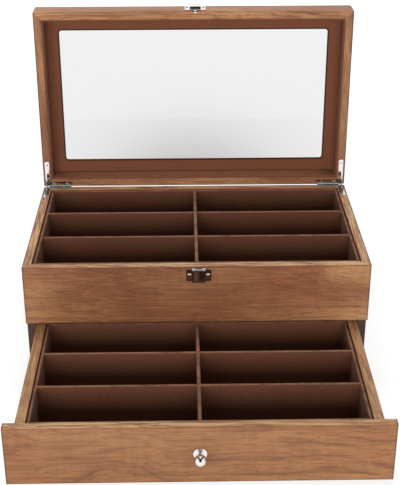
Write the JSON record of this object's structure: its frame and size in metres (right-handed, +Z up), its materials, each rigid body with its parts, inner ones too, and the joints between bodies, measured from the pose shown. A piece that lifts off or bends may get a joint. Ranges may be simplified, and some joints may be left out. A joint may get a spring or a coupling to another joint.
{
  "type": "eyeglasses storage box",
  "caption": "Wooden eyeglasses box with a lined top tray under a hinged glazed lid and a lined drawer below.",
  "frame": {"origin": "under the centre of the case, on the underside of the base sheet that the box stands on", "axes": "+Z up, +X to the right as seen from the front, +Y to the back; the drawer pulls out along -Y"},
  "size_m": [0.34, 0.4114, 0.3292],
  "materials": {
    "stained_wood": "satin stain over fine straight grain, eased edges",
    "drawer_wood": "satin stain, plain boards",
    "flock": "short brown flock",
    "glass": "clear polished pane",
    "nickel": "bright nickel plate",
    "spring_steel": "drawn wire",
    "brad_steel": "dull wire nails set flush"
  },
  "bodies": {
    "case": {"base_sheet": "flock", "case_back": "stained_wood", "case_bottom": "drawer_wood", "case_front_panel": "stained_wood", "case_hinge_screws": "nickel", "case_left_side": "stained_wood", "case_right_side": "stained_wood", "latch_base": "nickel", "latch_base_screws": "nickel", "latch_pin": "nickel", "latch_spring": "spring_steel", "left_case_hinge_leaf": "nickel", "left_hinge_pin": "nickel", "right_case_hinge_leaf": "nickel", "right_hinge_pin": "nickel", "tray_divider_center": "flock", "tray_divider_front": "flock", "tray_divider_rear": "flock", "tray_floor": "drawer_wood", "tray_insert_floor": "flock", "tray_liner_back": "flock", "tray_liner_front": "flock", "tray_liner_left": "flock", "tray_liner_right": "flock"},
    "drawer": {"drawer_back": "drawer_wood", "drawer_bottom": "drawer_wood", "drawer_brads": "brad_steel", "drawer_divider_center": "flock", "drawer_divider_front": "flock", "drawer_divider_rear": "flock", "drawer_front": "stained_wood", "drawer_insert_floor": "flock", "drawer_knob": "nickel", "drawer_left_side": "drawer_wood", "drawer_liner_back": "flock", "drawer_liner_front": "flock", "drawer_liner_left": "flock", "drawer_liner_right": "flock", "drawer_right_side": "drawer_wood", "knob_screw": "nickel"},
    "lid": {"keeper_screws": "nickel", "latch_keeper": "nickel", "left_lid_hinge_leaf": "nickel", "lid_back_rail": "stained_wood", "lid_bezel": "flock", "lid_front_rail": "stained_wood", "lid_glass": "glass", "lid_hinge_screws": "nickel", "lid_left_rail": "stained_wood", "lid_liner_back": "flock", "lid_liner_front": "flock", "lid_liner_left": "flock", "lid_liner_right": "flock", "lid_right_rail": "stained_wood", "lid_top_panel": "stained_wood", "right_lid_hinge_leaf": "nickel"},
    "latch_lever": {"latch_lever": "nickel"},
    "left_stay": {"left_stay": "nickel"},
    "right_stay": {"right_stay": "nickel"}
  },
  "joints": [
    {"name": "lid_hinge", "type": "hinge", "parent": "case", "child": "lid", "pos_m": [0, 0.0992, 0.1257], "axis": [1, 0, 0], "range_deg": [0, 90.8]},
    {"name": "left_stay_turn", "type": "hinge", "parent": "case", "child": "left_stay", "pos_m": [-0.165, 0.0992, 0.1257], "axis": [1, 0, 0], "range_deg": [0, 45.5]},
    {"name": "right_stay_turn", "type": "hinge", "parent": "case", "child": "right_stay", "pos_m": [0.165, 0.0992, 0.1257], "axis": [1, 0, 0], "range_deg": [0, 45.5]},
    {"name": "drawer_slide", "type": "slide", "parent": "case", "child": "drawer", "axis": [0, 1, 0], "range_m": [0, 0.1709]},
    {"name": "latch_lever_hinge", "type": "hinge", "parent": "case", "child": "latch_lever", "pos_m": [0.0017, -0.102, 0.1233], "axis": [-1, 0, 0], "range_deg": [0, 35], "stiffness_Nm_per_rad": 0.01, "springref_deg": -17.19}
  ],
  "couplings": [
    {"joint": "left_stay_turn", "follows": "lid_hinge", "ratio": 0.5},
    {"joint": "right_stay_turn", "follows": "lid_hinge", "ratio": 0.5}
  ]
}
